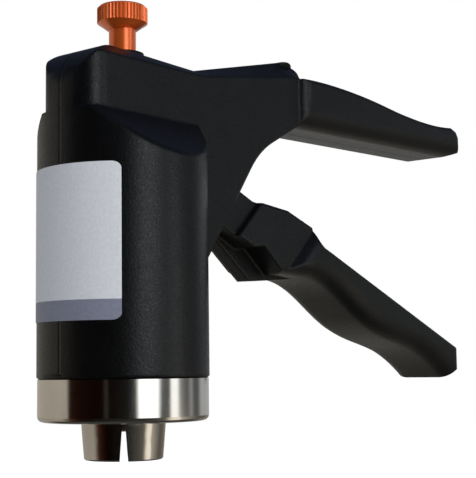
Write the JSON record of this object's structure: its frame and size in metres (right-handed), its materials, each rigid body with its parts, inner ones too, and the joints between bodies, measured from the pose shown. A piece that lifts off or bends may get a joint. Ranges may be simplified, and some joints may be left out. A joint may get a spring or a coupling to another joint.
{
  "type": "vial decapper",
  "caption": "Hand-held vial decapper: a squeeze lever drives slit jaws below a round body; a knurled knob sets the opening.",
  "frame": {"origin": "on the jaws' axis, in the plane of the jaw tips, at the mouth that goes over the cap", "axes": "+Z from the jaw tips up to the knob, +X towards the handles, +Y across, away from the pictured side"},
  "size_m": [0.1565, 0.0384, 0.1025],
  "materials": {
    "black_plastic": "fine-grained moulded nylon",
    "label_vinyl": "satin vinyl label",
    "nickel": "nickel plate, turned and polished",
    "steel": "machined steel",
    "spring_steel": "drawn spring wire",
    "bronze": "sintered bronze",
    "brass": "turned brass",
    "orange_anodised": "orange anodised aluminium, straight knurl",
    "elastic": "nitrile ring",
    "pad_plastic": "acetal"
  },
  "bodies": {
    "body": {"housing_near": "black_plastic", "housing_far": "black_plastic", "housing_screws": "steel", "label": "label_vinyl", "collar": "nickel", "barrel": "steel", "guide_bush": "bronze", "spring_washer": "steel", "return_spring": "spring_steel", "jaw_ring": "elastic", "pivot_pin": "steel", "thrust_washers": "pad_plastic", "threaded_insert": "brass"},
    "lever": {"lever": "black_plastic", "pivot_bush": "bronze", "roller_pin": "steel"},
    "roller": {"nose_roller": "steel"},
    "plunger": {"plunger": "steel", "plunger_head": "steel", "ejector_spring": "spring_steel"},
    "ejector": {"ejector_pin": "steel"},
    "front_jaw": {"jaw_front": "nickel"},
    "back_jaw": {"jaw_back": "nickel"},
    "near_jaw": {"jaw_near": "nickel"},
    "far_jaw": {"jaw_far": "nickel"},
    "pad": {"stop_pad": "pad_plastic"},
    "knob": {"adjusting_screw": "orange_anodised"}
  },
  "joints": [
    {"name": "lever_squeeze", "type": "hinge", "parent": "body", "child": "lever", "pos_m": [0.0227, 0, 0.061], "axis": [0, -1, 0], "range_deg": [0, 22], "stiffness_Nm_per_rad": 0.6, "springref_deg": -20.05},
    {"name": "plunger_slide", "type": "slide", "parent": "body", "child": "plunger", "axis": [0, 0, -1], "range_m": [0, 0.00877], "deforming": ["return_spring"]},
    {"name": "ejector_slide", "type": "slide", "parent": "plunger", "child": "ejector", "axis": [0, 0, 1], "range_m": [0, 0.009], "stiffness_N_per_m": 120, "springref_m": -0.004, "deforming": ["ejector_spring"]},
    {"name": "roller_spin", "type": "hinge", "parent": "lever", "child": "roller", "pos_m": [-0.00008, 0, 0.0642], "axis": [0, 1, 0], "continuous": true},
    {"name": "screw_travel", "type": "slide", "parent": "body", "child": "pad", "axis": [0, 0, 1], "range_m": [-0.0015, 0.003]},
    {"name": "knob_turn", "type": "hinge", "parent": "pad", "child": "knob", "pos_m": [0, 0, 0.1], "axis": [0, 0, 1], "range_deg": [-540, 1080]},
    {"name": "front_jaw_close", "type": "hinge", "parent": "body", "child": "front_jaw", "pos_m": [-0.00995, 0, 0.0114], "axis": [0, -1, 0], "range_deg": [0, 5.8], "deforming": ["jaw_ring"]},
    {"name": "back_jaw_close", "type": "hinge", "parent": "body", "child": "back_jaw", "pos_m": [0.00995, 0, 0.0114], "axis": [0, 1, 0], "range_deg": [0, 5.8]},
    {"name": "near_jaw_close", "type": "hinge", "parent": "body", "child": "near_jaw", "pos_m": [0, -0.00995, 0.0114], "axis": [1, 0, 0], "range_deg": [0, 5.8]},
    {"name": "far_jaw_close", "type": "hinge", "parent": "body", "child": "far_jaw", "pos_m": [0, 0.00995, 0.0114], "axis": [-1, 0, 0], "range_deg": [0, 5.8]}
  ],
  "couplings": [
    {"joint": "plunger_slide", "follows": "lever_squeeze", "m_per_rad": 0.022828},
    {"joint": "front_jaw_close", "follows": "lever_squeeze", "ratio": 0.26364},
    {"joint": "back_jaw_close", "follows": "lever_squeeze", "ratio": 0.26364},
    {"joint": "near_jaw_close", "follows": "lever_squeeze", "ratio": 0.26364},
    {"joint": "far_jaw_close", "follows": "lever_squeeze", "ratio": 0.26364},
    {"joint": "knob_turn", "follows": "screw_travel", "rad_per_m": 6283.2}
  ]
}
